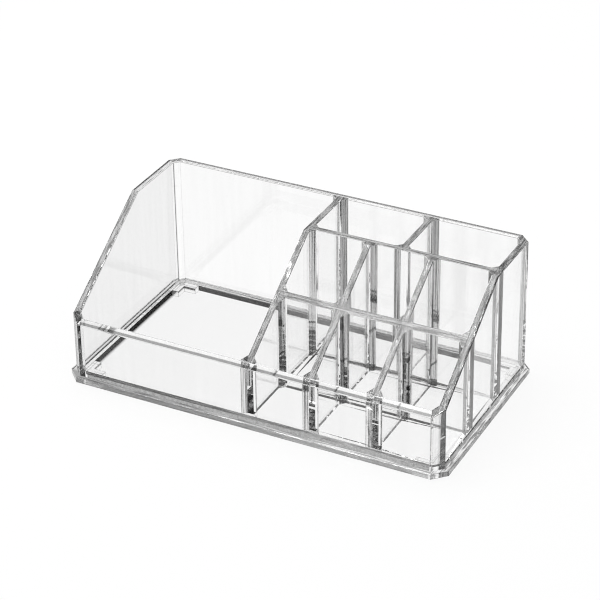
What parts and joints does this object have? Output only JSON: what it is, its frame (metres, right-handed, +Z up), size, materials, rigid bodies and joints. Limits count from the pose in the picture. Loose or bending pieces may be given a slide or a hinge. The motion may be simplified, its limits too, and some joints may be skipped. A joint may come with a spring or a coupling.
{
  "type": "vanity organizer",
  "caption": "Clear plastic vanity organizer with a flanged base, sloped sides, bevelled corners, a wide tray and a bank of stepped cells for cosmetics.",
  "frame": {"origin": "middle of the footprint, on the surface that the feet stand on", "axes": "+X to the right along the front, +Y to the back, +Z up"},
  "size_m": [0.22, 0.12, 0.081],
  "materials": {
    "clear_plastic": "colourless clear plastic, polished"
  },
  "bodies": {
    "root": {"base_plate": "clear_plastic", "corner_foot_front_left": "clear_plastic", "corner_foot_front_right": "clear_plastic", "corner_foot_back_right": "clear_plastic", "corner_foot_back_left": "clear_plastic", "front_panel": "clear_plastic", "corner_strip_front_right": "clear_plastic", "right_panel": "clear_plastic", "corner_strip_back_right": "clear_plastic", "back_panel": "clear_plastic", "corner_strip_back_left": "clear_plastic", "left_panel": "clear_plastic", "corner_strip_front_left": "clear_plastic", "tray_divider": "clear_plastic", "rear_cross_wall": "clear_plastic", "middle_cross_wall": "clear_plastic", "rear_divider": "clear_plastic", "middle_divider_left": "clear_plastic", "middle_divider_right": "clear_plastic", "front_divider_left": "clear_plastic", "front_divider_right": "clear_plastic"}
  },
  "joints": []
}
